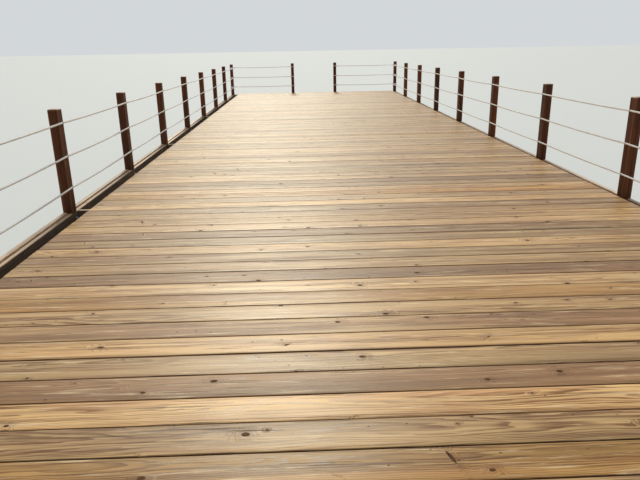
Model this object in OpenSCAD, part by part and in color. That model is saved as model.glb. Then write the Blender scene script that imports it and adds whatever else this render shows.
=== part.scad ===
// Timber jetty on round piles, with a plank deck and a rope rail. Millimetres.
// +Y points from the shore to the sea end, and Z is 0 at the feet of the piles.

/* [Layout] */
// Number of pile bays
bays = 5; // [3:1:6]
// Rail bays to each pile bay
rail_bays_each = 2; // [1:1:3]
// Distance between the centres of two rail posts along the side
post_spacing = 2250; // [1800:10:2700]
// Distance across the deck between the centre lines of the side posts
rail_width = 5800; // [4800:10:6600]
// Opening between the centres of the two sea end posts
end_opening = 1500; // [1000:10:2200]
// Height of the walking surface over the feet of the piles
deck_height = 1150; // [1000:10:1800]
// Distance from the first and last line of rail posts in to the nearest pile bent
bent_inset = 250; // [230:5:500]

/* [Deck boards] */
// Width of a deck board
board_w = 195; // [140:5:250]
// Thickness of a deck board
board_t = 50; // [30:1:70]
// Least gap between two boards
board_gap = 6; // [3:0.5:12]
// Space between the boards and the posts on the right and at the sea end
board_stop = 50; // [20:5:80]
// Space between the boards and the posts on the left
board_stop_left = 180; // [20:5:220]

/* [Joists and edge beams] */
// Width of a joist
joist_w = 75; // [50:5:100]
// Depth of the joists and of the inner edge beams
joist_d = 225; // [175:5:275]
// Widest spacing of the joists
joist_spacing = 600; // [400:10:800]
// Length by which a joist runs past the crosshead that it laps on
joist_lap = 40; // [10:5:150]
// Distance from the ends of the boards in to the outermost joist
joist_inset = 10; // [0:5:60]
// Thickness of each of the two planks that make an edge beam
edge_ply = 50; // [38:1:60]
// Height of the outer plank of an edge beam over the inner one
edge_rise = 15; // [0:5:40]
// Gap where two lengths of edge beam meet, or one meets a post
butt_gap = 3; // [1:0.5:10]
// Thickness of the blocking between joists
blocking_t = 50; // [38:1:75]
// Amount by which the blocking is less deep than the joists
blocking_rise = 25; // [0:5:80]

/* [Piles and crossheads] */
// Piles in a bent
piles = 3; // [2:1:4]
// Distance from the end of a crosshead to the centre of the outer pile
pile_inset = 650; // [300:10:900]
// Diameter of a pile at its head
pile_d = 280; // [220:5:340]
// Growth of a pile's diameter for each metre further down
pile_taper = 8; // [0:1:15]
// Thickness of the pile head between the two crosshead beams
pile_head_t = 120; // [90:5:160]
// Space between the top of a pile head and the joists
pile_head_gap = 20; // [5:5:60]
// Width of one crosshead beam
crosshead_w = 100; // [75:5:120]
// Depth of a crosshead beam
crosshead_d = 250; // [200:5:300]
// Length of crosshead outside the edge beams
crosshead_reach = 55; // [20:5:200]
// Height of the splay cut on the ends of a crosshead beam
splay = 90; // [20:5:150]

/* [Rail] */
// Side of a square rail post
post_w = 100; // [80:5:130]
// Height of the rail posts over the walking surface
post_height = 1000; // [900:10:1200]
// Size of the bevel around the top of a post
post_bevel = 6; // [2:1:15]
// Diameter of the rail ropes
rope_d = 20; // [10:1:26]
// Height of the lowest rope over the walking surface
rope_low = 215; // [150:5:330]
// Height of the middle rope over the walking surface
rope_mid = 535; // [430:5:620]
// Distance of the highest rope under the top of the posts
rope_top_drop = 135; // [60:5:200]
// Running clearance between a rope and what it lies against
rope_clear = 0.3; // [0.2:0.1:0.6]

/* [Hidden] */
$fn = 24;

rail_bays = bays * rail_bays_each;
rail_length = rail_bays * post_spacing;
first_post_y = -rail_length / 2;
last_post_y = rail_length / 2;
post_x = rail_width / 2;
post_half = post_w / 2;
end_post_x = end_opening / 2;
function post_y(k) = first_post_y + k * post_spacing;

// Faces of the edge beams. The inner plank is flush with the posts, which stand on it.
edge_inner = post_x - post_half;
edge_middle = edge_inner + edge_ply;
edge_outer = edge_middle + edge_ply;
end_inner = last_post_y - post_half;
end_middle = end_inner + edge_ply;
end_outer = end_middle + edge_ply;
side_end = last_post_y + post_half;
shore_face = -side_end;

// Levels of the bearing faces
board_bottom = deck_height - board_t;
joist_bottom = board_bottom - joist_d;
crosshead_bottom = joist_bottom - crosshead_d;
pile_top = joist_bottom - pile_head_gap;
post_top = deck_height + post_height;
edge_top = board_bottom + edge_rise;

// Pile bents
bent_spacing = (rail_length - 2 * bent_inset) / bays;
function bent_y(i) = first_post_y + bent_inset + i * bent_spacing;
crosshead_out = pile_head_t / 2 + crosshead_w;
crosshead_half = max(edge_outer, post_x + post_half) + crosshead_reach;
pile_span = 2 * (crosshead_half - pile_inset);
function pile_x(k) = -pile_span / 2 + k * pile_span / (piles - 1);

// Deck boards, spread evenly over the field
board_left = -(edge_inner - board_stop_left);
board_right = edge_inner - board_stop;
field_start = shore_face;
field_end = end_inner - board_stop;
field_length = field_end - field_start;
board_count = floor((field_length + board_gap) / (board_w + board_gap) + 0.001);
board_pitch = (field_length - board_w) / (board_count - 1);
function board_bay(n) = 1 + floor(n * bays / board_count);

// Joists, which step aside by half their width in every other bay and so lap
joist_first = board_left + joist_inset + joist_w;
joist_last = board_right - joist_inset - joist_w;
joist_spans = ceil((joist_last - joist_first) / joist_spacing);
joist_pitch = (joist_last - joist_first) / joist_spans;
function joist_step(bay) = (bay % 2 == 0 ? 1 : -1) * joist_w / 2;
function joist_x(j, bay) = joist_first + j * joist_pitch + joist_step(bay);
function joist_start(bay) =
    bay == 1 ? shore_face + edge_ply : bent_y(bay - 1) - crosshead_out - joist_lap;
function joist_end(bay) =
    bay == bays ? end_inner : bent_y(bay) + crosshead_out + joist_lap;

// Lengths of inner edge beam, which meet over the crosshead beam that is further from a post
function butt_y(i) =
    bent_y(i) + (bent_y(i) < 0 ? 1 : -1) * (pile_head_t + crosshead_w) / 2;

// Rope lines on the deck side of the posts, and the eye that ends each rope
rope_off = post_half + rope_clear + rope_d / 2;
rope_x = post_x - rope_off;
end_rope_y = last_post_y - rope_off;
eye_bend = rope_d / 2 + 1;
eye_reach = rope_off + rope_d / 2 + rope_clear;
eye_rise = rope_d + rope_clear;
ROPES = [["bottom", rope_low], ["middle", rope_mid], ["top", post_height - rope_top_drop]];
SIDES = [["left", -1], ["right", 1]];

// A box given by its lowest and highest corners
module block(low, high) {
    translate(low)
        cube(high - low);
}

// A box beside the deck, given for the right side by its X and Z, and mirrored for the left
module side_block(s, near, far, from, to, low, high) {
    block([min(s * near, s * far), from, low], [max(s * near, s * far), to, high]);
}

// Shouldered pile: the head is cut flat on two sides, and the crosshead beams sit on the cuts
module pile() {
    foot_d = pile_d + pile_taper * pile_top / 1000;
    difference() {
        cylinder(d1 = foot_d, d2 = pile_d, h = pile_top, $fn = 48);
        for (s = [-1, 1])
            translate([-pile_d, s > 0 ? pile_head_t / 2 : -pile_head_t / 2 - pile_d, crosshead_bottom])
                cube([2 * pile_d, pile_d, crosshead_d]);
    }
}

module piles_bent(i) {
    color("#6b5236")
        for (k = [0 : piles - 1])
            translate([pile_x(k), bent_y(i - 1), 0])
                pile();
}

// One crosshead beam, with its lower corners cut back at the ends
module crosshead_beam() {
    h = crosshead_half;
    outline = [
        [-h, crosshead_d], [-h, splay], [-h + splay, 0],
        [h - splay, 0], [h, splay], [h, crosshead_d]
    ];
    rotate([90, 0, 0])
        linear_extrude(crosshead_w, center = true)
            polygon(outline);
}

module crosshead(i) {
    color("#a98e62")
        for (s = [-1, 1])
            translate([0, bent_y(i - 1) + s * (pile_head_t + crosshead_w) / 2, crosshead_bottom])
                crosshead_beam();
}

module joists_bay(bay) {
    color("#b3966a")
        for (j = [0 : joist_spans])
            block([joist_x(j, bay) - joist_w / 2, joist_start(bay), joist_bottom],
                  [joist_x(j, bay) + joist_w / 2, joist_end(bay), board_bottom]);
}

// A row of blocking across the middle of a bay, tight between the joists and the edge beams
module blocking_bay(bay) {
    mid = (bent_y(bay - 1) + bent_y(bay)) / 2;
    color("#a98e62")
        for (j = [0 : joist_spans + 1]) {
            from = j == 0 ? -edge_inner : joist_x(j - 1, bay) + joist_w / 2;
            to = j > joist_spans ? edge_inner : joist_x(j, bay) - joist_w / 2;
            block([from, mid - blocking_t / 2, joist_bottom + blocking_rise],
                  [to, mid + blocking_t / 2, board_bottom]);
        }
}

// The inner plank carries the posts and runs through under them, in lengths that meet over the bents
module inner_edge_beam(s) {
    color("#b3966a")
        for (i = [1 : bays]) {
            from = i == 1 ? shore_face : butt_y(i - 1) + butt_gap / 2;
            to = i == bays ? side_end : butt_y(i) - butt_gap / 2;
            side_block(s, edge_inner, edge_middle, from, to, joist_bottom, board_bottom);
        }
}

// The outer plank fills the stretches between the feet of the posts
module outer_edge_beam(s) {
    color("#c2a878")
        for (k = [1 : rail_bays])
            side_block(s, edge_middle, edge_outer,
                       post_y(k - 1) + post_half + butt_gap / 2, post_y(k) - post_half - butt_gap / 2,
                       joist_bottom, edge_top);
}

module shore_end_beam() {
    color("#b3966a")
        block([-edge_inner, shore_face, joist_bottom],
              [edge_inner, shore_face + edge_ply, board_bottom]);
}

module sea_end_inner_beam() {
    color("#b3966a")
        block([-edge_inner, end_inner, joist_bottom],
              [edge_inner, end_middle, board_bottom]);
}

module sea_end_outer_beam() {
    stops = [-edge_inner, -end_post_x - post_half, -end_post_x + post_half,
             end_post_x - post_half, end_post_x + post_half, edge_inner];
    color("#c2a878")
        for (i = [0 : 2 : 4])
            block([stops[i] + butt_gap / 2, end_middle, joist_bottom],
                  [stops[i + 1] - butt_gap / 2, end_outer, edge_top]);
}

module deck_boards_bay(bay) {
    color("#cda873")
        for (n = [0 : board_count - 1])
            if (board_bay(n) == bay) {
                y = field_start + n * board_pitch;
                block([board_left, y, board_bottom], [board_right, y + board_w, deck_height]);
            }
}

// Outline of the top of a post, with a bevel at both sides
function post_head() = [
    [post_half, post_top - post_bevel], [post_half - post_bevel, post_top],
    [post_bevel - post_half, post_top], [-post_half, post_top - post_bevel]
];

// Shouldered rail post, which faces out along X: half of it sits on the inner plank of the
// edge beam, and the rest runs down beside that plank, in line with the outer one
module rail_post() {
    shoulder = edge_ply - post_half;
    intersection() {
        rotate([90, 0, 0])
            linear_extrude(post_w, center = true)
                polygon(concat(post_head(), [
                    [-post_half, board_bottom], [shoulder, board_bottom],
                    [shoulder, joist_bottom], [post_half, joist_bottom]
                ]));
        rotate([90, 0, 90])
            linear_extrude(post_w, center = true)
                polygon(concat(post_head(), [[-post_half, joist_bottom], [post_half, joist_bottom]]));
    }
}

module side_rail_posts(s) {
    color("#5a3a22")
        for (k = [0 : rail_bays])
            translate([s * post_x, post_y(k), 0])
                rotate([0, 0, s > 0 ? 0 : 180])
                    rail_post();
}

module end_rail_posts() {
    color("#5a3a22")
        for (s = [-1, 1])
            translate([s * end_post_x, last_post_y, 0])
                rotate([0, 0, 90])
                    rail_post();
}

// Rope laid once around a square post as an eye, centred on the post
module rope_eye() {
    leg = rope_off - eye_bend;
    for (a = [0 : 90 : 270])
        rotate([0, 0, a]) {
            translate([leg, leg, 0])
                rotate_extrude(angle = 90)
                    translate([eye_bend, 0])
                        circle(d = rope_d);
            translate([rope_off, -leg, 0])
                rotate([-90, 0, 0])
                    cylinder(d = rope_d, h = 2 * leg);
        }
}

// A side rope: a straight run past every post, with an eye around the first and the last
module side_rope(s, height) {
    z = deck_height + height;
    color("#e4dcc6") {
        translate([s * rope_x, first_post_y + eye_reach, z])
            rotate([-90, 0, 0])
                cylinder(d = rope_d, h = rail_length - 2 * eye_reach);
        for (y = [first_post_y, last_post_y])
            translate([s * post_x, y, z])
                rope_eye();
    }
}

// The sea end ropes of one side, a rope's thickness over the side ropes at the corner post
module end_ropes(s) {
    color("#e4dcc6")
        for (r = ROPES) {
            z = deck_height + r[1] + eye_rise;
            from = min(s * (end_post_x + eye_reach), s * (post_x - eye_reach));
            translate([from, end_rope_y, z])
                rotate([0, 90, 0])
                    cylinder(d = rope_d, h = post_x - end_post_x - 2 * eye_reach);
            for (x = [end_post_x, post_x])
                translate([s * x, last_post_y, z])
                    rope_eye();
        }
}

for (i = [1 : bays + 1])
    piles_bent(i);
for (i = [1 : bays + 1])
    crosshead(i);
for (i = [1 : bays])
    joists_bay(i);
for (i = [1 : bays])
    blocking_bay(i);
for (s = SIDES)
    inner_edge_beam(s[1]);
for (s = SIDES)
    outer_edge_beam(s[1]);
shore_end_beam();
sea_end_inner_beam();
sea_end_outer_beam();
for (i = [1 : bays])
    deck_boards_bay(i);
side_rail_posts(-1);  // left_rail_posts
side_rail_posts(1);  // right_rail_posts
end_rail_posts();
for (s = SIDES, r = ROPES)
    side_rope(s[1], r[1]);
for (s = SIDES)
    end_ropes(s[1]);
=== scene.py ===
import math
import random
from collections import namedtuple

import bmesh
import bpy
import numpy as np
from mathutils import Matrix, Vector


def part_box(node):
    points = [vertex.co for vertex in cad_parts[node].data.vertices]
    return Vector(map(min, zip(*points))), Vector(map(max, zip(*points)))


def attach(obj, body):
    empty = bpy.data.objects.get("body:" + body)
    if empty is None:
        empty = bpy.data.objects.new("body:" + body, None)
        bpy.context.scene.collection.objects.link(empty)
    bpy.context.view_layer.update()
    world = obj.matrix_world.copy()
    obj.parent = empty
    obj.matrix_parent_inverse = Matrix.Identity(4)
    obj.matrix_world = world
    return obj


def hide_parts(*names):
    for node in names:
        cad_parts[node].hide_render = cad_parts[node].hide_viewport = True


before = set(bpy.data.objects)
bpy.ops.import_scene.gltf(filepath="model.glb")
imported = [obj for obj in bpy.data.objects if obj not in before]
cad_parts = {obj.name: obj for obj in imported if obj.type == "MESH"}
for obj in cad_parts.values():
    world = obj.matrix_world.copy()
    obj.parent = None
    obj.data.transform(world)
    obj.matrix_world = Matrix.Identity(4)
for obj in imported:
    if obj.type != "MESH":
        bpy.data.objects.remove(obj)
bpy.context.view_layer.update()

ROOT = "root"
SEED = 20

# Attributes that each timber and rope carries for its finish.
# grain: distance along the timber and the two offsets from its pith, in metres.
# look: tone from -1 to 1, age from -1 (warm and new) to 1 (weathered), and rim, which is 1 on its edges.
# On the frame's faces that no sun reaches, a high age is painted shade as well as damp weathering. On
# the deck boards, the rim is painted shade.
# Piles have their damp in place of rim, which is 1 at the foot.
# strand: distance along a rope in metres, angle around it in turns, and groove from 0 to 1.
GRAIN, LOOK, STRAND = "grain", "look", "strand"

WELD = 1e-5           # points closer than this, in metres, are one


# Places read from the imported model, in metres
def corners(points):
    """The lowest and highest corner of some points."""
    places = np.array([tuple(p) for p in points])
    return Vector(places.min(0)), Vector(places.max(0))


def welded(node):
    """A copy of a CAD node's mesh in which the faces of each solid share their points."""
    bm = bmesh.new()
    bm.from_mesh(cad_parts[node].data)
    bmesh.ops.remove_doubles(bm, verts=bm.verts, dist=WELD)
    return bm


def islands(bm):
    """The points of each solid of a mesh, in order along Y, X and Z."""
    waiting = set(bm.verts)
    found = []
    for first in bm.verts:
        if first not in waiting:
            continue
        waiting.discard(first)
        island = [first]
        for vert in island:
            for edge in vert.link_edges:
                other = edge.other_vert(vert)
                if other in waiting:
                    waiting.discard(other)
                    island.append(other)
        low = corners(v.co for v in island)[0]
        found.append(((round(low.y, 3), round(low.x, 3), round(low.z, 3)), island))
    return [island for _, island in sorted(found, key=lambda item: item[0])]


def solids(node):
    """The lowest and highest corner of each solid of a CAD node, in order along Y, X and Z."""
    bm = welded(node)
    found = [corners(v.co for v in island) for island in islands(bm)]
    bm.free()
    return found


def nodes_named(start):
    """The names of the CAD nodes that begin with some words, in order."""
    return sorted(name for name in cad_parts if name.startswith(start))


def middle(box):
    return (box[0] + box[1]) / 2


def reach_at_level(node, axis, level):
    """How far a CAD node reaches along an axis (0 or 1) among its points at one height."""
    points = [v.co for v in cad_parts[node].data.vertices]
    return max(p[axis] for p in points if abs(p.z - level) < WELD * 10)


SIDES = {"left": -1, "right": 1}
LEVELS = ("bottom", "middle", "top")
CROSSHEADS = nodes_named("crosshead_")
BENTS = nodes_named("piles_bent_")
BOARDS = nodes_named("deck_boards_bay_")

deck_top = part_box(BOARDS[0])[1].z
frame_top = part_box(BOARDS[0])[0].z
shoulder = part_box(CROSSHEADS[0])[0].z
frame_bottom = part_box(CROSSHEADS[0])[1].z
outer_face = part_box("right_outer_edge_beam")[1].x
inner_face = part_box("right_inner_edge_beam")[0].x
sea_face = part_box("sea_end_outer_beam")[1].y
sea_inner_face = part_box("sea_end_inner_beam")[0].y
posts = {side: [middle(b) for b in solids(side + "_rail_posts")] for side in ("left", "right", "end")}


# Camera, at eye height over the deck
LENS = 33.06
EYE_HEIGHT = 1.5329
EYE = Vector((-0.489, -10.4423, deck_top + EYE_HEIGHT))
YAW = math.radians(1.6015)
PITCH = math.radians(18.1876)
ROLL = math.radians(-1.0421)


def add_camera():
    data = bpy.data.cameras.new("camera")
    data.sensor_width = 36
    data.lens = LENS
    data.clip_start = 0.05
    data.clip_end = 2000
    ahead = Vector((math.sin(YAW) * math.cos(PITCH), math.cos(YAW) * math.cos(PITCH), -math.sin(PITCH)))
    level = Vector((math.cos(YAW), -math.sin(YAW), 0))
    upright = level.cross(ahead)
    right = level * math.cos(ROLL) + upright * math.sin(ROLL)
    up = upright * math.cos(ROLL) - level * math.sin(ROLL)
    camera = bpy.data.objects.new("camera", data)
    camera.matrix_world = Matrix.Translation(EYE) @ Matrix((right, up, -ahead)).transposed().to_4x4()
    bpy.context.scene.collection.objects.link(camera)
    bpy.context.scene.camera = camera


def shade(code):
    """Linear colour of an sRGB hex code."""
    parts = [int(code[i:i + 2], 16) / 255 for i in (1, 3, 5)]
    return [c / 12.92 if c <= 0.04045 else ((c + 0.055) / 1.055) ** 2.4 for c in parts] + [1.0]


class Graph:
    """A node tree. Each method adds a node or a few, and returns the socket that they give."""

    def __init__(self, tree):
        self.tree = tree
        tree.nodes.clear()

    def add(self, kind, inputs=None, output=0, **settings):
        """Adds a node, sets or links its inputs by name or number, and returns one output."""
        node = self.tree.nodes.new("ShaderNode" + kind)
        for key, value in settings.items():
            setattr(node, key, value)
        for key, value in (inputs or {}).items():
            socket = node.inputs[key]
            if isinstance(value, bpy.types.NodeSocket):
                self.tree.links.new(value, socket)
            else:
                socket.default_value = value
        return node.outputs[output] if node.outputs else None

    def attribute(self, name):
        return self.add("Attribute", output="Vector", attribute_name=name)

    def split(self, vector):
        first = self.add("SeparateXYZ", {0: vector})
        return [first.node.outputs[i] for i in range(3)]

    def join(self, x, y, z=0.0):
        return self.add("CombineXYZ", {0: x, 1: y, 2: z})

    def stretch(self, vector, along, across):
        return self.add("VectorMath", {0: vector, 1: (along, across, across)}, operation="MULTIPLY")

    def math(self, operation, *values):
        return self.add("Math", dict(enumerate(values)), operation=operation)

    def times(self, a, b):
        return self.math("MULTIPLY", a, b)

    def plus(self, a, b):
        return self.math("ADD", a, b)

    def weigh(self, value, gain, base=0.0):
        """value times gain, plus base."""
        return self.math("MULTIPLY_ADD", value, gain, base)

    def reach(self, x, y):
        """The length of two offsets at a right angle."""
        return self.math("SQRT", self.plus(self.times(x, x), self.times(y, y)))

    def ease(self, value, low, high, start=0.0, end=1.0):
        """A smooth step from start to end as value goes from low to high."""
        inputs = {0: value, 1: low, 2: high, 3: start, 4: end}
        return self.add("MapRange", inputs, interpolation_type="SMOOTHSTEP")

    def fade(self, value, low, high):
        """A smooth step from 1 down to 0."""
        return self.ease(value, low, high, 1.0, 0.0)

    def noise(self, vector, detail, rough=0.5):
        inputs = {"Vector": vector, "Scale": 1.0, "Detail": detail, "Roughness": rough}
        return self.add("TexNoise", inputs)

    def waves(self, space, along, across, detail=2, rough=0.5):
        """Noise with so many waves a metre along a timber, and so many across it."""
        return self.noise(self.stretch(space, along, across), detail, rough)

    def cells(self, vector, output="Distance", **settings):
        return self.add("TexVoronoi", {"Vector": vector, "Scale": 1.0}, output, **settings)

    def mix(self, share, a, b, blend="MIX"):
        """Colour a, with a share of colour b."""
        inputs = {0: share, 6: a, 7: b}
        return self.add("Mix", inputs, 2, data_type="RGBA", blend_type=blend, clamp_factor=True)

    def tint(self, colour, red, green, blue):
        """A colour with its red, green and blue times three values."""
        return self.mix(1.0, colour, self.join(red, green, blue), "MULTIPLY")

    def bump(self, height, distance, under=None):
        inputs = {"Height": height, "Distance": distance, "Strength": 1.0}
        if under is not None:
            inputs["Normal"] = under
        return self.add("Bump", inputs)

    def surface(self, **inputs):
        """The shader and the output that end a material. Names are the shader's own, with _ for a space."""
        named = {key.replace("_", " "): value for key, value in inputs.items()}
        shader = self.add("BsdfPrincipled", named)
        self.add("OutputMaterial", {"Surface": shader})


def new_finish(name):
    material = bpy.data.materials.new(name)
    material.use_nodes = True
    return material, Graph(material.node_tree)


# Timber finish. early and late are the colours of the two parts of a growth ring, and the next five those
# of streaks, weathered wood, knots, edges and worn places. The weathered colour is also painted shade on the
# frame's faces that no sun reaches, and the edge colour of the deck boards is painted shade from the gaps
# between them. even is 1 where a rim is the same all along.
# ring is the width of a growth ring in metres, and contrast is how far its late wood shows. knots, spikes
# and pins are the shares of places that have such knots. wear is how far worn places show, and saw is the
# depth of the saw marks. rough and gloss are those of the surface.
Timber = namedtuple("Timber", "early late streak aged knot rim pale even ring contrast knots spikes pins "
                              "wear saw rough gloss")

# What the parts of a timber finish share: late wood, fibres, streaks, broad streaks, knots, the wood that
# flows around them and checks, each about 0 to 1, and the colour of the knots.
Pattern = namedtuple("Pattern", "late fibre streak broad knot halo check knot_colour")

# Heights of the relief in the finishes, in metres.
GRAIN_RELIEF = 0.0006
SWELL_RELIEF = 0.004
PILE_RELIEF = 0.0015
SMALL_RELIEF = 0.0004


def knot_cells(g, space, ragged_edge, growth, ragged, base):
    """Knots in the cells of a pattern. Returns a random number for each knot, and how far a point lies from
    its middle as a share of its radius. The radius is growth times another random number, plus ragged times
    the noise of its edge, plus base."""
    pick, size, _ = g.split(g.cells(space, "Color", voronoi_dimensions="2D"))
    radius = g.weigh(size, growth, g.weigh(ragged_edge, ragged, base))
    return pick, g.math("DIVIDE", g.cells(space, voronoi_dimensions="2D"), radius)


def knot_pattern(g, grain, wood):
    """Three kinds of knots. Returns where they are, where the wood around them is, and their colour."""
    along, across, _ = g.split(grain)
    ragged_edge = g.waves(grain, 30, 30)

    # Round knots, more of them in some places
    space = g.join(g.times(along, 3.0), g.times(across, 4.6))
    pick, round_ratio = knot_cells(g, space, ragged_edge, growth=0.042, ragged=0.05, base=-0.007)
    whorl = g.ease(g.waves(grain, 1.3, 5, detail=1), 0.44, 0.6)
    chosen = g.math("LESS_THAN", pick, g.weigh(whorl, 1.5 * wood.knots, 0.2 * wood.knots))
    round_knot = g.times(chosen, g.fade(round_ratio, 0.7, 1.2))
    round_halo = g.times(chosen, g.fade(round_ratio, 0.6, 4.5))

    # Spike knots: narrow ones, cut lengthwise, that lie across the timber
    space = g.join(g.weigh(along, 7, g.times(across, 2.2)), g.times(across, 1.6))
    pick, ratio = knot_cells(g, space, ragged_edge, growth=0.045, ragged=0.05, base=0.0)
    chosen = g.math("LESS_THAN", pick, wood.spikes)
    spike = g.times(chosen, g.fade(ratio, 0.6, 1.1))
    spike_halo = g.times(chosen, g.fade(ratio, 0.6, 4.0))

    # Pin knots: small ones, in clusters
    space = g.join(g.times(along, 11), g.times(across, 17))
    pick, ratio = knot_cells(g, space, ragged_edge, growth=0.07, ragged=0.14, base=-0.04)
    cluster = g.ease(g.waves(grain, 1.1, 9, detail=1), 0.57, 0.68)
    chosen = g.math("LESS_THAN", pick, g.times(cluster, wood.pins))
    pin = g.times(chosen, g.ease(ratio, 0.5, 1.4, 0.75, 0.0))

    knot = g.math("MAXIMUM", round_knot, g.math("MAXIMUM", spike, pin))
    halo = g.math("MAXIMUM", round_halo, spike_halo)
    knot_rings = g.math("SINE", g.times(round_ratio, 12))
    dark_share = g.weigh(knot_rings, 0.15, g.weigh(ragged_edge, 1.4, -0.4))
    return knot, halo, g.mix(dark_share, wood.knot, wood.late)


def ring_pattern(g, grain, halo, width):
    """Late wood, in rings around the pith that wander, taper and flow around the knots."""
    along, across, through = g.split(grain)
    wander = g.weigh(g.waves(grain, 0.7, 5), 10, g.times(g.waves(grain, 2.6, 36, detail=3), 1.8))
    phase = g.weigh(g.reach(across, through), 1 / width, g.weigh(along, 0.9, wander))
    place = g.math("FRACT", g.plus(phase, g.times(halo, 3.5)))
    return g.times(g.ease(place, 0.2, 0.86), g.fade(place, 0.9, 1.0))


def check_pattern(g, grain):
    """Checks: short fine splits along the grain, more of them in some places."""
    lines = g.ease(g.waves(grain, 1.6, 150, detail=1), 0.65, 0.7)
    places = g.ease(g.waves(grain, 0.8, 9, detail=1), 0.46, 0.56)
    return g.times(lines, places)


def timber_pattern(g, grain, wood):
    knot, halo, knot_colour = knot_pattern(g, grain, wood)
    return Pattern(
        late=ring_pattern(g, grain, halo, wood.ring),
        fibre=g.waves(grain, 5, 420, detail=3, rough=0.6),
        streak=g.waves(grain, 0.6, 22, detail=5, rough=0.62),
        broad=g.waves(grain, 0.4, 7, detail=3),
        knot=knot,
        halo=halo,
        check=check_pattern(g, grain),
        knot_colour=knot_colour)


def wood_colour(g, grain, wood, at, patch):
    """Early and late wood with fibres and streaks, and weathered wood in the patches, which on the frame's
    faces that no sun reaches is painted shade as well.
    """
    dark = g.weigh(at.late, wood.contrast, g.weigh(g.ease(at.streak, 0.42, 0.62), 0.54, -0.02))
    dark = g.plus(dark, g.weigh(g.ease(at.fibre, 0.4, 0.75), 0.25, -0.12))
    flush = g.waves(grain, 0.9, 15, detail=4, rough=0.6)
    colour = g.mix(dark, wood.early, wood.late)
    colour = g.mix(g.ease(flush, 0.5, 0.66, 0, 0.55), colour, wood.streak)
    shadow = g.weigh(dark, -0.55, 1.25)
    aged = g.tint(wood.aged, shadow, shadow, shadow)
    return g.mix(g.times(patch, g.ease(at.fibre, 0.3, 0.7, 0.95, 0.7)), colour, aged)


def toned(g, at, colour, tone, age):
    """Gives each timber and each stretch of it its tone, and new timber its warmth."""
    warmth = g.math("MAXIMUM", g.times(age, -1.0), 0.0)
    level = g.weigh(tone, 0.26, g.plus(at.broad, g.weigh(warmth, -0.14, 0.53)))
    green = g.times(level, g.weigh(warmth, -0.19, 1.0))
    blue = g.times(level, g.weigh(warmth, -0.5, 1.0))
    return g.tint(colour, level, green, blue)


def marked(g, grain, wood, at, colour, rim):
    """Adds what lies over the wood: worn places, knots with dark streaks around them, checks and rims. On the
    deck boards the rims are painted shade.
    """
    worn = g.waves(grain, 2.2, 34, detail=5, rough=0.7)
    colour = g.mix(g.ease(worn, 0.55, 0.68, 0, wood.wear), colour, wood.pale)
    smudge = g.times(at.halo, g.ease(at.streak, 0.35, 0.65, 0.15, 0.7))
    colour = g.mix(smudge, colour, wood.late)
    colour = g.mix(g.times(at.knot, 0.95), colour, at.knot_colour)
    colour = g.mix(g.times(at.check, 0.7), colour, wood.knot)
    # Rims. On the deck boards, a dark even rim along the edges, sides and ends is painted shade of the gaps.
    rim_noise = g.ease(g.waves(grain, 9, 60, detail=3), 0.35, 0.65)
    rim_share = g.times(rim, g.math("MAXIMUM", rim_noise, wood.even))
    return g.mix(g.times(rim_share, 0.85), colour, wood.rim)


def timber_relief(g, grain, wood, at):
    """Fine relief of rings, fibres, saw marks and checks, over a broad swell."""
    saw = g.waves(grain, 420, 9, detail=1)
    marks = g.weigh(saw, wood.saw, g.times(at.check, -2.0))
    fine = g.weigh(at.late, 0.35, g.weigh(at.fibre, 0.45, marks))
    swell = g.plus(at.broad, g.weigh(at.streak, 0.35, g.weigh(at.halo, 0.25, g.times(at.knot, 0.2))))
    return g.bump(swell, SWELL_RELIEF, g.bump(fine, GRAIN_RELIEF))


def timber_finish(name, wood):
    """Growth rings around the pith, streaks, knots, checks and weathering, all in the timber's own space,
    with painted shade on the deck boards' edges and on the frame's faces that no sun reaches.
    """
    material, g = new_finish(name)
    grain = g.attribute(GRAIN)
    tone, age, rim = g.split(g.attribute(LOOK))
    at = timber_pattern(g, grain, wood)

    # Weathered patches are whole timbers, or long stretches with a ragged boundary. On the frame's faces that
    # no sun reaches they mostly cover all, as painted shade with damp weathering.
    ragged = g.weigh(at.streak, 0.6, g.weigh(at.broad, 1.2, g.weigh(age, 0.95, -0.9)))
    patch = g.ease(ragged, 0.42, 0.58)
    colour = toned(g, at, wood_colour(g, grain, wood, at, patch), tone, age)
    colour = marked(g, grain, wood, at, colour, rim)
    rough = g.weigh(patch, 0.06, g.weigh(at.knot, 0.15, wood.rough - 0.08))
    rough = g.weigh(at.late, -0.08, g.weigh(at.fibre, 0.16, rough))
    gloss = g.weigh(at.knot, -0.8 * wood.gloss, wood.gloss)
    normal = timber_relief(g, grain, wood, at)
    g.surface(Base_Color=colour, Roughness=rough, Normal=normal, Specular_IOR_Level=gloss)
    return material


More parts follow.
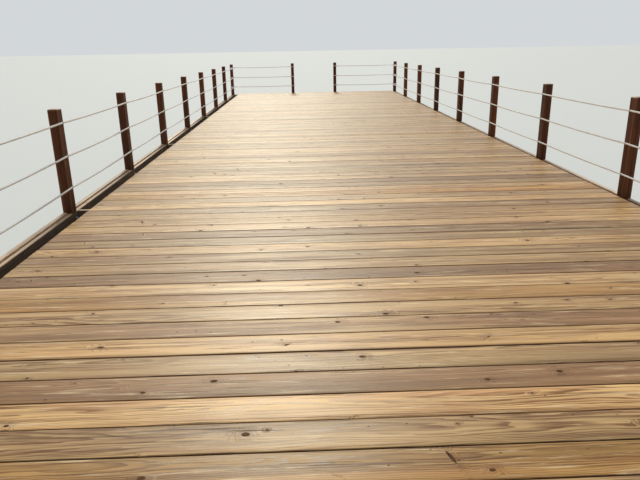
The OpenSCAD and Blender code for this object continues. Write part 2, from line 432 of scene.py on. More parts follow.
WOODS = {
    # The deck boards' rim colour is painted shade: their edges, sides and ends are dark as in the gaps
    # between the boards.
    "deck_boards": Timber(
        early=shade("#cba97a"), late=shade("#765031"), streak=shade("#a57c59"), aged=shade("#8c684a"),
        knot=shade("#2e1809"), rim=shade("#34130a"), pale=shade("#e2cba6"), even=1.0, ring=0.0092,
        contrast=0.66, knots=0.5, spikes=0.04, pins=0.35, wear=0.6, saw=0.1, rough=0.44, gloss=0.16),
    "edge_timber": Timber(
        early=shade("#dfc7a8"), late=shade("#b08c68"), streak=shade("#cba98f"), aged=shade("#a88d76"),
        knot=shade("#5f3f28"), rim=shade("#6f5741"), pale=shade("#d8c4a6"), even=0.0, ring=0.0045,
        contrast=0.45, knots=0.3, spikes=0.03, pins=0.1, wear=0.4, saw=0.5, rough=0.58, gloss=0.4),
    # The frame's aged colour is dark: on its faces that no sun reaches it is painted shade, with damp
    # weathering.
    "frame_timber": Timber(
        early=shade("#d9bb9a"), late=shade("#a88260"), streak=shade("#c8a088"), aged=shade("#382a1d"),
        knot=shade("#46301f"), rim=shade("#604a35"), pale=shade("#c4a988"), even=0.0, ring=0.0045,
        contrast=0.45, knots=0.3, spikes=0.03, pins=0.1, wear=0.2, saw=0.6, rough=0.66, gloss=0.4),
    "post_timber": Timber(
        early=shade("#6b3b1b"), late=shade("#2b160a"), streak=shade("#502a12"), aged=shade("#432614"),
        knot=shade("#24120a"), rim=shade("#c9a48a"), pale=shade("#7d4d2c"), even=0.5, ring=0.0042,
        contrast=0.6, knots=0.4, spikes=0.03, pins=0.1, wear=0.2, saw=0.25, rough=0.55, gloss=0.15),
}


def steel_finish():
    """Galvanised steel with a soft spangle and a little grime."""
    material, g = new_finish("galvanised_steel")
    place = g.add("TexCoord", output="Object")
    spangle = g.split(g.cells(g.stretch(place, 320, 320), "Color"))[0]
    cloud = g.waves(place, 60, 60, detail=4)
    colour = g.mix(g.weigh(spangle, 0.5, g.times(cloud, 0.5)), shade("#8d9192"), shade("#bcc0c1"))
    colour = g.mix(g.ease(cloud, 0.6, 0.8, 0, 0.5), colour, shade("#6d5c49"))
    normal = g.bump(cloud, SMALL_RELIEF)
    g.surface(Base_Color=colour, Roughness=g.weigh(cloud, 0.3, 0.32), Metallic=0.85, Normal=normal)
    return material


YARNS = 22  # yarns that show around a rope


def rope_finish():
    """Cream fibre rope: yarns along the strands, and painted shade with a little grime in the grooves."""
    material, g = new_finish("cream_rope")
    along, turn, groove = g.split(g.attribute(STRAND))
    yarn_space = g.join(g.times(along, 60), g.times(turn, 2 * YARNS))
    yarns = g.math("SINE", g.weigh(g.noise(yarn_space, 2), 5, g.times(turn, 2 * math.pi * YARNS)))
    cloud = g.noise(g.join(g.times(along, 5), g.times(turn, 2)), 3)
    colour = g.mix(g.weigh(yarns, 0.12, g.times(cloud, 0.5)), shade("#fdfbf6"), shade("#f0eadb"))
    # Darker in the grooves between the strands: painted shade, with a little grime.
    colour = g.mix(g.ease(groove, 0.5, 1.0, 0, 0.3), colour, shade("#d2c8b0"))
    g.surface(Base_Color=colour, Roughness=0.75, Normal=g.bump(yarns, SMALL_RELIEF),
              Subsurface_Weight=0.7, Subsurface_Radius=(1.0, 0.9, 0.7), Subsurface_Scale=0.008,
              Sheen_Weight=0.4, Sheen_Roughness=0.5)
    return material


def pile_finish():
    """Round timber: long checks, weather streaks and a dark damp foot."""
    material, g = new_finish("pile_timber")
    grain = g.attribute(GRAIN)
    _, across, through = g.split(grain)
    tone, _, damp = g.split(g.attribute(LOOK))
    slow = g.waves(grain, 2, 14)
    rings = g.math("SINE", g.weigh(g.reach(across, through), 1400, g.times(slow, 14)))
    fibre = g.waves(grain, 5, 190, detail=4, rough=0.6)
    streak = g.waves(grain, 1.2, 26, detail=3)
    share = g.weigh(rings, 0.12, g.weigh(fibre, 0.5, g.times(streak, 0.5)))
    colour = g.mix(share, shade("#94744f"), shade("#5c4430"))
    colour = g.mix(g.ease(streak, 0.5, 0.72, 0, 0.5), colour, shade("#82796b"))
    level = g.weigh(tone, 0.12, 1.0)
    colour = g.tint(colour, level, level, level)
    check = g.ease(g.waves(grain, 1.1, 46), 0.64, 0.68)
    colour = g.mix(g.times(check, 0.85), colour, shade("#2a1d13"))

    # The damp foot, with weed up to a ragged line
    edge = g.weigh(g.waves(grain, 9, 16, detail=4), 0.7, g.plus(damp, -0.35))
    wet = g.ease(edge, 0.35, 0.62)
    weed = g.waves(grain, 40, 60, detail=4, rough=0.7)
    foot_colour = g.mix(weed, shade("#2c2a1d"), shade("#4b4a30"))
    colour = g.mix(g.times(wet, 0.85), colour, foot_colour)
    relief = g.weigh(fibre, 0.5, g.weigh(check, -2.4, g.times(g.times(weed, wet), 1.5)))
    g.surface(Base_Color=colour, Roughness=g.weigh(wet, -0.2, 0.78), Normal=g.bump(relief, PILE_RELIEF),
              Specular_IOR_Level=0.35)
    return material


def draws(name):
    """The random numbers of a piece or a node."""
    return random.Random(f"{SEED} {name}")


# Angles from which an edge between two faces stays sharp, in degrees
SHARP = 42
PILE_SHARP = 35


class Batch:
    """Loose parts gathered into one mesh, with the attributes that their finish reads."""

    def __init__(self, *keys):
        self.points = []
        self.faces = []
        self.values = {key: [] for key in keys}
        self.count = 0

    def add(self, points, faces, **values):
        self.points.append(np.asarray(points, float))
        self.faces.extend([[int(i) + self.count for i in face] for face in faces])
        for key, value in values.items():
            self.values[key].append(np.asarray(value, float))
        self.count += len(points)

    def piece(self, name, slot, nodes=(), sharp=SHARP):
        """Makes the object in its slot's finish, rides it on the body and lets it stand for CAD nodes."""
        mesh = bpy.data.meshes.new(name)
        mesh.from_pydata(np.concatenate(self.points).tolist(), [], self.faces)
        for key, value in self.values.items():
            layer = mesh.attributes.new(key, "FLOAT_VECTOR", "POINT")
            layer.data.foreach_set("vector", np.concatenate(value).astype(np.float32).ravel())
        mesh.shade_smooth()
        mesh.set_sharp_from_angle(angle=math.radians(sharp))
        mesh.materials.append(finishes[slot])
        piece = bpy.data.objects.new(name, mesh)
        bpy.context.scene.collection.objects.link(piece)
        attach(piece, ROOT)
        if nodes:
            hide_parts(*nodes)
        return piece


def skin(rings, sides, closed=False):
    """The faces between rings of points. Open rows get an end face each."""
    faces = []
    for i in range(rings if closed else rings - 1):
        here = i * sides
        there = (i + 1) % rings * sides
        for j in range(sides):
            k = (j + 1) % sides
            faces.append((here + j, here + k, there + k, there + j))
    if not closed:
        faces.append(tuple(reversed(range(sides))))
        faces.append(tuple(range((rings - 1) * sides, rings * sides)))
    return faces


# Timbers. Each has its own axes: along, across and through.
EDGE = 0.004          # rounding of a sawn edge
POST_EDGE = 0.003
RIM = 0.009           # width of the worn band beside it
ROUND_STEPS = 3
FLAT_WIDTH = 0.02     # least mean width of a face that gets such a band
COPLANAR = math.radians(1)
UPWARD = 0.5          # least upward part of the normal of a face that the sun reaches
SIDE_RIM = 0.3        # rim of the edges below a worn top
OPEN_AGE = (0.15, 0.2)  # mean and spread of the age of faces in the open
SHADE_AGE = 0.85      # age of the faces of the frame that no sun reaches: painted shade, with damp weathering
START = 60            # the stretch of tree from which the timbers are cut
AXES = {
    "X": np.array([(1, 0, 0), (0, 1, 0), (0, 0, 1)], float),
    "Y": np.array([(0, 1, 0), (-1, 0, 0), (0, 0, 1)], float),
    "Z": np.array([(0, 0, 1), (1, 0, 0), (0, 1, 0)], float),
}

# How far the pith may lie from the middle of a timber, across and through it.
JOIST_PITH = (0.03, 0.07)
CROSSHEAD_PITH = (0.04, 0.08)
BEAM_PITH = (0.04, 0.06)
BOARD_PITH = (0.07, 0.09)
POST_PITH = (0.03, 0.03)
PILE_PITH = (0.02, 0.02)


def tree_place(rng, pith):
    """Where a timber's own zero lies in its tree: the distance along it and the offsets from its pith."""
    return [rng.uniform(0, START)] + [rng.uniform(-d, d) for d in pith]


def timber_look(local, start, tone, age, rim):
    """The two attributes of one timber, from its points in its own axes and its place in the tree."""
    count = len(local)
    look = np.column_stack([np.full(count, tone), np.broadcast_to(age, count), rim])
    return {GRAIN: local + start, LOOK: look}


def dress(name, node, axis, slot, pith, edge=EDGE, worn_top=False, shade_age=0.0):
    """Makes a piece with a CAD node's solids, their edges rounded, in the finish of their slot. The last
    argument is the age of the faces that no sun reaches, which darkens them: painted shade, with damp
    weathering."""
    rng = draws(name)
    bm = welded(node)
    bmesh.ops.dissolve_limit(bm, angle_limit=COPLANAR, verts=bm.verts, edges=bm.edges)
    bmesh.ops.bevel(bm, geom=list(bm.edges), offset=edge, segments=ROUND_STEPS, profile=0.5,
                    affect="EDGES", clamp_overlap=True)
    flats = [face for face in bm.faces if 2 * face.calc_area() > FLAT_WIDTH * face.calc_perimeter()]
    bmesh.ops.inset_individual(bm, faces=flats, thickness=RIM, use_even_offset=True)
    top = max(v.co.z for v in bm.verts) - WELD
    inside = {v for face in flats for v in face.verts if not (worn_top and v.co.z > top)}
    sunlit = {v for face in flats for v in face.verts if face.normal.z > UPWARD}

    def rim_at(vert):
        if vert in inside:
            return 0.0
        return SIDE_RIM if worn_top and vert.co.z <= top - edge else 1.0

    batch = Batch(GRAIN, LOOK)
    for island in islands(bm):
        order = {vert: i for i, vert in enumerate(island)}
        points = np.array([tuple(v.co) for v in island])
        local = (points - np.array(middle(corners(points)))) @ AXES[axis].T
        faces = [[order[v] for v in face.verts] for face in bm.faces if face.verts[0] in order]
        open_age = min(1.0, max(0.0, rng.gauss(*OPEN_AGE)))
        # Faces that no sun reaches get a higher age, which darkens them: painted shade, with damp weathering.
        age = [open_age if v in sunlit else max(open_age, shade_age) for v in island]
        rim = [rim_at(v) for v in island]
        tone = rng.uniform(-1, 1)
        batch.add(points, faces, **timber_look(local, tree_place(rng, pith), tone, age, rim))
    bm.free()
    batch.piece(name, slot, [node])


# Deck boards
BOARD_EDGE = 0.0045
BOARD_STATIONS = 15
BOARD_ACROSS = 6

# Boards, counted from the shore end, and the range of their age: weathered, half weathered and warm ones
BOARD_AGES = (
    ((16, 23, 38, 47, 61, 70, 88, 96), (0.85, 1.0)),
    ((12, 19, 25, 28, 32, 42, 53, 66, 79, 84, 93, 103), (0.45, 0.6)),
    ((4, 9, 13, 21, 35, 44, 57, 74, 81, 99, 107), (-1.0, -0.6)),
)
USUAL_AGE = (-0.25, 0.3)
PALE_BOARDS = (2, 7, 15, 18, 22, 26, 29, 33, 36, 39, 45, 49, 54, 58, 62, 67, 72, 77, 82, 86, 91, 95, 101, 105)
PALE_TONE = (0.6, 1.0)
USUAL_TONE = (-0.8, 0.4)

# How far a board strays as it dries, in metres: ends, long edges and the whole of it
TRIM = 0.003
PLAY = (-0.002, 0.0018)
LEAN = 0.001
BOW = 0.0007
CUP = 0.0012
SINK = 0.0015
TWIST = 0.0008


def board_age(number, rng):
    """How weathered a board is, from its place in the lists."""
    for numbers, span in BOARD_AGES:
        if number in numbers:
            return rng.uniform(*span)
    return rng.uniform(*USUAL_AGE)


def board_tone(number, rng):
    return rng.uniform(*(PALE_TONE if number in PALE_BOARDS else USUAL_TONE))


def board_section(width, depth):
    """Outline of a board, and for each point how far it lies off the top face, from 0 to 1."""
    points = []
    for sx, sz, start in ((1, 1, 0), (-1, 1, 90), (-1, -1, 180), (1, -1, 270)):
        centre_x = sx * (width / 2 - BOARD_EDGE)
        centre_z = sz * (depth / 2 - BOARD_EDGE)
        for step in range(ROUND_STEPS + 1):
            a = math.radians(start + 90 * step / ROUND_STEPS)
            points.append((centre_x + BOARD_EDGE * math.cos(a), centre_z + BOARD_EDGE * math.sin(a)))
        if sx == sz:
            x, z = points[-1]
            stride = sx * (width - 2 * BOARD_EDGE) / BOARD_ACROSS
            points += [(x - stride * k, z) for k in range(1, BOARD_ACROSS)]
    outline = np.array(points)
    return outline, np.clip((depth / 2 - outline[:, 1]) / BOARD_EDGE, 0, 1)


def warp(local, length, rng):
    """A board as it has dried: trimmed, bowed, cupped and twisted a little, and with its own gaps."""
    moved = local.copy()
    t = local[:, 0] / length
    v = local[:, 1] / np.abs(local[:, 1]).max()
    moved[:, 0] += (1 - t) * rng.uniform(0, TRIM) - t * rng.uniform(0, TRIM)
    near, far = rng.uniform(*PLAY), rng.uniform(*PLAY)
    moved[:, 1] += np.where(v > 0, far, near) + rng.uniform(-LEAN, LEAN) * (t - 0.5)
    moved[:, 1] += rng.uniform(-BOW, BOW) * np.sin(np.pi * t)
    cup = rng.uniform(0, CUP) * v * v
    sink = cup + rng.uniform(0, SINK) + rng.uniform(0, TWIST) * (1 + v * (2 * t - 1)) / 2
    moved[:, 2] -= np.where(local[:, 2] > 0, sink, 0)
    return moved


def add_board(batch, box, rng, age, tone):
    """One deck board along X, with end faces, rounded edges and enough stations to warp."""
    length, width, depth = box[1] - box[0]
    outline, off_top = board_section(width, depth)
    inner = outline * (1 - 2 * BOARD_EDGE / np.array([width, depth]))
    stops = [0, *np.linspace(BOARD_EDGE, length - BOARD_EDGE, BOARD_STATIONS), length]
    rings = []
    for stop in stops:
        ring = inner if stop in (0, length) else outline
        rings.append(np.column_stack([np.full(len(ring), stop), ring]))
    local = np.concatenate(rings)
    ends = np.isin(local[:, 0], (0, length))
    rim = np.maximum(np.tile(off_top, len(stops)), ends)
    values = timber_look(local, tree_place(rng, BOARD_PITH), tone, age, rim)
    points = warp(local, length, rng) - [length / 2, 0, 0] + np.array(middle(box))
    batch.add(points, skin(len(stops), len(outline)), **values)


def add_boards():
    number = 0
    for node in BOARDS:
        rng = draws(node)
        batch = Batch(GRAIN, LOOK)
        for box in solids(node):
            add_board(batch, box, rng, board_age(number, rng), board_tone(number, rng))
            number += 1
        batch.piece("planks_" + node.removeprefix("deck_boards_"), "deck_boards", [node])


def add_frame():
    """Joists, blocking, crossheads, edge beams and end beams: sawn timbers as the CAD has them."""
    timbers = [(node, "Y", "frame_timber", JOIST_PITH) for node in nodes_named("joists_bay_")]
    timbers += [(node, "X", "frame_timber", JOIST_PITH) for node in nodes_named("blocking_bay_")]
    timbers += [(node, "X", "frame_timber", CROSSHEAD_PITH) for node in CROSSHEADS]
    for side in SIDES:
        timbers.append((side + "_inner_edge_beam", "Y", "frame_timber", BEAM_PITH))
        timbers.append((side + "_outer_edge_beam", "Y", "edge_timber", BEAM_PITH))
    timbers.append(("shore_end_beam", "X", "frame_timber", BEAM_PITH))
    timbers.append(("sea_end_inner_beam", "X", "frame_timber", BEAM_PITH))
    timbers.append(("sea_end_outer_beam", "X", "edge_timber", BEAM_PITH))
    for node, axis, slot, pith in timbers:
        # Each timber's faces that no sun reaches are darkened through their age: painted shade, with damp
        # weathering.
        dress("dressed_" + node, node, axis, slot, pith, shade_age=SHADE_AGE)


def add_posts():
    for side in posts:
        node = side + "_rail_posts"
        dress("stained_" + node, node, "Z", "post_timber", POST_PITH, edge=POST_EDGE, worn_top=True)


# Round piles
PILE_SIDES = 72
PILE_RINGS = 9
LOBES = 3             # sets of lobes that leave a pile a little out of round
LOBE_COUNTS = (2, 5)  # lobes of a set, and their depth
LOBE_DEPTHS = (0.001, 0.003)
HEAD_SHRINK = (0.98, 0.95, 1)  # size of the top face against the ring below it


def add_pile(batch, box, node, rng):
    """A tapered round pile whose head is cut flat where the crosshead beams sit."""
    centre = middle(box)
    top = box[1].z
    foot_radius = (box[1].x - box[0].x) / 2
    head_radius = reach_at_level(node, 0, top) - middle(solids(node)[-1]).x
    head_half = reach_at_level(node, 1, top) - centre.y
    angles = np.linspace(0, 2 * math.pi, PILE_SIDES, endpoint=False)
    dent = np.zeros(PILE_SIDES)
    for _ in range(LOBES):
        count = rng.randint(*LOBE_COUNTS)
        turn = rng.uniform(0, 2 * math.pi)
        dent += rng.uniform(*LOBE_DEPTHS) * (np.sin(count * angles + turn) - 1)

    def ring(z, clipped):
        radius = foot_radius + (head_radius - foot_radius) * z / top + dent
        x = radius * np.cos(angles)
        y = radius * np.sin(angles)
        if clipped:
            y = np.clip(y, -head_half, head_half)
        return np.column_stack([x, y, np.full(PILE_SIDES, z)])

    rings = [ring(z, False) for z in np.linspace(0, shoulder, PILE_RINGS)]
    rings += [ring(shoulder, True), ring(top - EDGE, True), ring(top, True) * HEAD_SHRINK]
    local = np.concatenate(rings)
    damp = np.clip(1 - local[:, 2] / shoulder, 0, 1)
    start = tree_place(rng, PILE_PITH)
    values = timber_look(local[:, [2, 0, 1]], start, rng.uniform(-1, 1), 0.0, damp)
    batch.add(local + [centre.x, centre.y, 0], skin(len(rings), PILE_SIDES), **values)


def tidy_mesh(piece):
    """Merges points that meet and drops the faces without area between them."""
    bm = bmesh.new()
    bm.from_mesh(piece.data)
    bmesh.ops.remove_doubles(bm, verts=bm.verts, dist=WELD)
    bmesh.ops.dissolve_degenerate(bm, edges=bm.edges, dist=WELD)
    bm.to_mesh(piece.data)
    bm.free()


def add_piles():
    for node in BENTS:
        rng = draws(node)
        batch = Batch(GRAIN, LOOK)
        for box in solids(node):
            add_pile(batch, box, node, rng)
        tidy_mesh(batch.piece("round_" + node, "pile_timber", [node], PILE_SHARP))


# Ropes
LAY = 0.06            # length of one turn of the strands
LAY_STEPS = 9
STEP = LAY / LAY_STEPS  # way from one ring of points to the next
ROPE_SIDES = 12
STRANDS = 3
GROOVE = 0.24         # depth of the grooves as a share of the radius
SAG = 0.0045          # sag between two posts as a share of their distance
SAG_SPREAD = (0.7, 1.3)
LEAST_RUN = 1         # length of a rope's solid from which it is a run between posts and not an eye
EYE_SLACK = 0.001     # by which the bends of an eye are wider than the rope's radius
EYE_STEPS = 4
SPLICE = 0.16         # length of rope thickened by its splice
SPLICE_SWELL = 0.28
SPLICE_TAPER = 0.7    # power of its growth towards the eye
TWINE = 0.0009        # radius of the whipping twine
TWINE_SIDES = 5
TWINE_PITCH = 2.1     # way from one turn of the twine to the next, in radii of it
TWINE_STRAND = (0.001, 0.2)  # its strand attribute: distance from ring to ring, and groove
WHIP_TURNS = 9
WHIP_STEPS = 10
WHIP_START = 0.022    # distance of a whipping from the end of its run
WHIP_REACH = 1.24     # radius of a whipping as a share of the rope's


def add_rope(batch, path, radius, closed=False, swell=None):
    """Laid rope of three strands along a path that is never upright. swell gives its growth at each point."""
    path = np.array(path, float)
    if closed:
        ahead = np.roll(path, -1, axis=0) - np.roll(path, 1, axis=0)
    else:
        ahead = np.gradient(path, axis=0)
    ahead /= np.linalg.norm(ahead, axis=1)[:, None]
    side = np.cross(ahead, (0, 0, 1))
    side /= np.linalg.norm(side, axis=1)[:, None]
    up = np.cross(side, ahead)
    steps = np.linalg.norm(np.diff(path, axis=0, append=path[:1] if closed else path[-1:]), axis=1)
    along = np.concatenate([[0], np.cumsum(steps)[:-1]])
    turns = along / LAY
    if closed:
        turns *= round(steps.sum() / LAY * STRANDS) / STRANDS / (steps.sum() / LAY)
    own = np.arange(ROPE_SIDES) / ROPE_SIDES
    lobe = np.abs(np.cos(math.pi * STRANDS * own))
    growth = np.ones(len(path)) if swell is None else swell
    reach = radius * growth[:, None] * (1 - GROOVE + GROOVE * lobe)[None, :]
    angle = 2 * math.pi * (turns[:, None] + own[None, :])
    points = (path[:, None, :] + (reach * np.cos(angle))[:, :, None] * side[:, None, :]
              + (reach * np.sin(angle))[:, :, None] * up[:, None, :])
    strand = np.stack([
        np.broadcast_to(along[:, None], reach.shape),
        np.broadcast_to(own[None, :], reach.shape),
        np.broadcast_to((1 - lobe)[None, :], reach.shape),
    ], axis=2)
    faces = [tuple(reversed(face)) for face in skin(len(path), ROPE_SIDES, closed)]
    batch.add(points.reshape(-1, 3), faces, strand=strand.reshape(-1, 3))


def eye_path(centre, off, bend):
    """Once around a square post, with round corners."""
    leg = off - bend
    count = round(2 * leg / STEP)
    path = []
    for quarter in range(4):
        turn = Matrix.Rotation(math.pi / 2 * quarter, 3, "Z")
        for i in range(count):
            path.append(centre + turn @ Vector((off, -leg + 2 * leg * i / count, 0)))
        for i in range(EYE_STEPS):
            a = math.pi / 2 * i / EYE_STEPS
            path.append(centre + turn @ Vector((leg + bend * math.cos(a), leg + bend * math.sin(a), 0)))
    return path


def run_path(start, end, held, rng):
    """A straight rope from start to end, which hangs a little between the places where it is held."""
    length = (end - start).length
    t = np.linspace(0, 1, round(length / STEP) + 1)[:, None]
    path = np.array(start) * (1 - t) + np.array(end) * t
    place = t[:, 0] * length
    for near, far in zip(held, held[1:]):
        inside = (place >= near) & (place <= far)
        share = (place[inside] - near) / (far - near)
        path[inside, 2] -= SAG * (far - near) * rng.uniform(*SAG_SPREAD) * 4 * share * (1 - share)
    return path


def splice_swell(path):
    """The growth of a rope at its two splices, which taper away from the eyes."""
    growth = np.zeros(len(path))
    for end in (path[0], path[-1]):
        near = np.clip(1 - np.linalg.norm(path - end, axis=1) / SPLICE, 0, 1)
        growth = np.maximum(growth, near ** SPLICE_TAPER)
    return 1 + SPLICE_SWELL * growth


def add_whipping(batch, start, direction, radius):
    """Twine wound tightly around a splice, as a coil. direction is level and of length 1."""
    side = direction.cross(Vector((0, 0, 1)))
    up = side.cross(direction)
    rings = WHIP_TURNS * WHIP_STEPS + 1
    points = []
    strand = []
    for i in range(rings):
        turns = i / WHIP_STEPS
        out = side * math.cos(2 * math.pi * turns) + up * math.sin(2 * math.pi * turns)
        centre = start + direction * (TWINE_PITCH * TWINE * turns) + out * radius
        for j in range(TWINE_SIDES):
            b = 2 * math.pi * j / TWINE_SIDES
            points.append(tuple(centre + out * TWINE * math.cos(b) + direction * TWINE * math.sin(b)))
            strand.append((i * TWINE_STRAND[0], j / TWINE_SIDES, TWINE_STRAND[1]))
    batch.add(points, skin(rings, TWINE_SIDES), strand=strand)


def add_eye(batch, centre, off, radius):
    add_rope(batch, eye_path(centre, off, radius + EYE_SLACK), radius, closed=True)


def add_run(batch, start, end, held, radius, rng):
    """A rope between two eyes, thicker at both splices and whipped there."""
    path = run_path(start, end, held, rng)
    add_rope(batch, path, radius, swell=splice_swell(path))
    inward = (end - start).normalized()
    add_whipping(batch, start + inward * WHIP_START, inward, radius * WHIP_REACH)
    add_whipping(batch, end - inward * WHIP_START, -inward, radius * WHIP_REACH)


def runs_and_eyes(node, axis):
    """The solids of a rope node: its runs, which lie along an axis (0 or 1), and its eyes."""
    runs, eyes = [], []
    for box in solids(node):
        kind = runs if box[1][axis] - box[0][axis] > LEAST_RUN else eyes
        kind.append(box)
    return runs, eyes


def rope_radius(run):
    return (run[1].z - run[0].z) / 2


def add_side_rope(side, level):
    """A side rope, spliced around the first and last post of its side and stapled to the others."""
    node = f"{side}_rope_{level}"
    rng = draws(node)
    (run,), eyes = runs_and_eyes(node, 1)
    radius = rope_radius(run)
    x, _, z = middle(run)
    off = abs(x - middle(eyes[0]).x)
    batch = Batch(STRAND)
    for eye in eyes:
        add_eye(batch, middle(eye), off, radius)
    start = Vector((x, run[0].y - radius, z))
    end = Vector((x, run[1].y + radius, z))
    held = [0] + [post.y - start.y for post in posts[side][1:-1]] + [end.y - start.y]
    add_run(batch, start, end, held, radius, rng)
    batch.piece("laid_" + node, "rope", [node])


def add_end_ropes(side):
    """The sea end ropes of one side, each spliced around the corner post and the end post."""
    node = f"end_ropes_{side}"
    rng = draws(node)
    runs, eyes = runs_and_eyes(node, 0)
    radius = rope_radius(runs[-1])
    batch = Batch(STRAND)
    for run in runs:
        _, y, z = middle(run)
        start = Vector((run[0].x - radius, y, z))
        end = Vector((run[1].x + radius, y, z))
        add_run(batch, start, end, [0, end.x - start.x], radius, rng)
    for eye in eyes:
        add_eye(batch, middle(eye), (eye[1].x - eye[0].x) / 2 - radius, radius)
    batch.piece("laid_" + node, "rope", [node])


# Fixings
def lathe(profile, sides):
    """Points and faces of a turned shape around Z, from a list of (radius, height) upwards."""
    points = []
    for radius, height in profile:
        for j in range(sides):
            a = 2 * math.pi * j / sides
            points.append((radius * math.cos(a), radius * math.sin(a), height))
    return points, skin(len(profile), sides)


def set_on(batch, shape, at, out, spin=0.0):
    """Places a shape that was made around Z at a point, with Z turned to a direction."""
    points, faces = shape
    turn = out.to_track_quat("Z", "Y").to_matrix() @ Matrix.Rotation(spin, 3, "Z")
    batch.add([tuple(at + turn @ Vector(p)) for p in points], faces)


# Bolts: (radius, height over the face of the timber) in metres, and the number of sides
WASHER = lathe([(0.0185, 0), (0.019, 0.0006), (0.019, 0.0026), (0.0183, 0.0032)], 24)
HEAD = lathe([(0.0108, 0.003), (0.0108, 0.0098), (0.0098, 0.0108)], 6)
NUT = lathe([(0.0098, 0.003), (0.0108, 0.004), (0.0108, 0.0125), (0.0098, 0.0135)], 6)
SHANK = lathe([(0.006, 0.002), (0.006, 0.021), (0.0052, 0.022)], 12)
HEX_TURN = math.pi / 3  # from one corner of a hexagon to the next

# The two bolts of each post and of each pile: how far aside, and how high as a share of the timbers they join
POST_BOLTS = ((-0.016, 0.27), (0.016, 0.73))
PILE_BOLTS = ((-0.03, 0.3), (0.03, 0.7))


def add_bolt(batch, head_at, out, length, rng):
    """A through bolt: washer and head on one face, washer, nut and end of thread on the other."""
    set_on(batch, WASHER, head_at, out)
    set_on(batch, HEAD, head_at, out, rng.uniform(0, HEX_TURN))
    tail = head_at - out * length
    set_on(batch, WASHER, tail, -out)
    set_on(batch, NUT, tail, -out, rng.uniform(0, HEX_TURN))
    set_on(batch, SHANK, tail, -out)


def add_bolt_piece(name, places, out, length, rng):
    """A piece with a bolt at each place. out points from the timber to the bolts' heads."""
    batch = Batch()
    for place in places:
        add_bolt(batch, place, out, length, rng)
    batch.piece(name, "fixings")


def add_bolts():
    rng = draws("bolts")
    to_sea = Vector((0, 1, 0))
    post_bolts = [(aside, frame_bottom + share * (frame_top - frame_bottom)) for aside, share in POST_BOLTS]
    for side, sign in SIDES.items():
        places = [Vector((sign * outer_face, post.y + aside, z))
                  for post in posts[side] for aside, z in post_bolts]
        add_bolt_piece("rail_bolts_" + side, places, Vector((sign, 0, 0)), outer_face - inner_face, rng)
    places = [Vector((post.x + aside, sea_face, z)) for post in posts["end"] for aside, z in post_bolts]
    add_bolt_piece("rail_bolts_end", places, to_sea, sea_face - sea_inner_face, rng)
    for node in CROSSHEADS:
        low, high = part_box(node)
        places = []
        for pile in solids("piles_bent_" + node[-1]):
            for aside, share in PILE_BOLTS:
                places.append(Vector((middle(pile).x + aside, high.y, low.z + share * (high.z - low.z))))
        add_bolt_piece("bolts_" + node, places, to_sea, high.y - low.y, rng)


# Staples that hold the ropes against the posts
STAPLE_WIRE = 0.0018
STAPLE_SIDES = 8
STAPLE_STEPS = 8
STAPLE_BITE = 0.006   # how far the legs reach past the rope, into the post


def add_staple(batch, rope_centre, away, radius):
    """A wire staple over a rope, with both legs driven into the post. away points off the post."""
    bend = radius + STAPLE_WIRE
    leg = radius + STAPLE_BITE
    arc = [math.pi * i / STAPLE_STEPS for i in range(STAPLE_STEPS + 1)]
    line = [(-leg, bend)] + [(bend * math.sin(a), bend * math.cos(a)) for a in arc] + [(-leg, -bend)]
    wire_side = away.cross(Vector((0, 0, 1)))
    points = []
    for i, (off, height) in enumerate(line):
        before = Vector(line[max(0, i - 1)])
        after = Vector(line[min(len(line) - 1, i + 1)])
        ahead = (after - before).normalized()
        for j in range(STAPLE_SIDES):
            a = 2 * math.pi * j / STAPLE_SIDES
            d = off - ahead.y * STAPLE_WIRE * math.cos(a)
            z = height + ahead.x * STAPLE_WIRE * math.cos(a)
            point = rope_centre + away * d + Vector((0, 0, z)) + wire_side * STAPLE_WIRE * math.sin(a)
            points.append(tuple(point))
    batch.add(points, skin(len(line), STAPLE_SIDES))


def add_staples():
    for side, sign in SIDES.items():
        batch = Batch()
        for level in LEVELS:
            (run,), _ = runs_and_eyes(f"{side}_rope_{level}", 1)
            centre = middle(run)
            for post in posts[side]:
                at = Vector((centre.x, post.y, centre.z))
                add_staple(batch, at, Vector((-sign, 0, 0)), rope_radius(run))
        batch.piece("staples_" + side, "fixings")


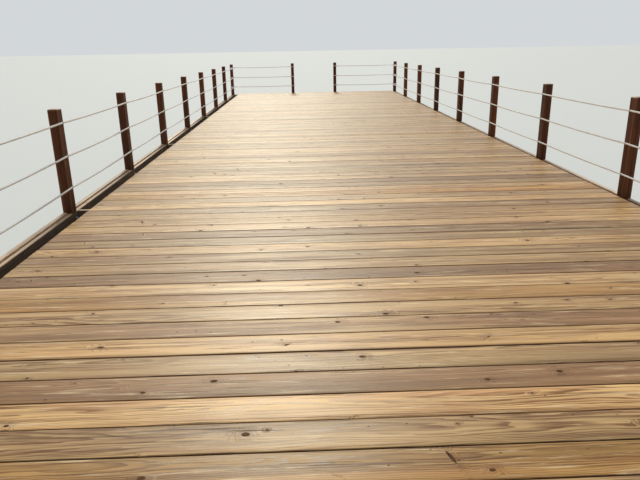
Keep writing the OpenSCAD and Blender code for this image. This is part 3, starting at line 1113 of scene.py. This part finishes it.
# Stage. Angles are in degrees, and the key light's azimuth is 0 when it comes from straight over the sea.
FLOOR_SIZE = 900
BACKDROP = shade("#d3d7da")
FLOOR_COLOUR = shade("#d6d9dc")
FILL_COLOUR = shade("#f4f7fb")
FILL_LEVEL = 0.46
KEY_COLOUR = (1.0, 0.965, 0.8)
KEY_LEVEL = 2.7
KEY_SPREAD = 13
KEY_AZIMUTH = -3.6
KEY_HEIGHT = 35


def add_floor():
    """A plain pale floor at the feet of the piles."""
    material, g = new_finish("floor")
    g.surface(Base_Color=FLOOR_COLOUR, Roughness=0.9)
    half = FLOOR_SIZE / 2
    floor_corners = [(-half, -half, 0), (half, -half, 0), (half, half, 0), (-half, half, 0)]
    mesh = bpy.data.meshes.new("floor")
    mesh.from_pydata(floor_corners, [], [(0, 1, 2, 3)])
    mesh.materials.append(material)
    floor = bpy.data.objects.new("floor", mesh)
    bpy.context.scene.collection.objects.link(floor)


def add_light():
    """An even pale background, a fill of the same kind and one large soft key light from ahead."""
    world = bpy.data.worlds.new("studio")
    bpy.context.scene.world = world
    world.use_nodes = True
    g = Graph(world.node_tree)
    path = g.add("LightPath").node.outputs
    mirrored = g.math("MAXIMUM", path["Is Glossy Ray"], path["Is Transmission Ray"])
    seen = g.math("MAXIMUM", path["Is Camera Ray"], mirrored)
    backdrop = g.add("Background", {"Color": BACKDROP, "Strength": 1.0})
    fill = g.add("Background", {"Color": FILL_COLOUR, "Strength": FILL_LEVEL})
    g.add("OutputWorld", {"Surface": g.add("MixShader", {0: seen, 1: fill, 2: backdrop})})

    data = bpy.data.lights.new("key", "SUN")
    data.energy = KEY_LEVEL
    data.angle = math.radians(KEY_SPREAD)
    data.color = KEY_COLOUR
    key = bpy.data.objects.new("key", data)
    key.rotation_euler = (math.radians(90 - KEY_HEIGHT), 0, math.radians(180 - KEY_AZIMUTH))
    bpy.context.scene.collection.objects.link(key)


bpy.context.scene.view_settings.view_transform = "Standard"
finishes = {slot: timber_finish(slot, wood) for slot, wood in WOODS.items()}
finishes["pile_timber"] = pile_finish()
finishes["rope"] = rope_finish()
finishes["fixings"] = steel_finish()

add_camera()
add_floor()
add_light()
add_boards()
add_frame()
add_posts()
add_piles()
for rope_side in SIDES:
    for rope_level in LEVELS:
        add_side_rope(rope_side, rope_level)
    add_end_ropes(rope_side)
add_bolts()
add_staples()
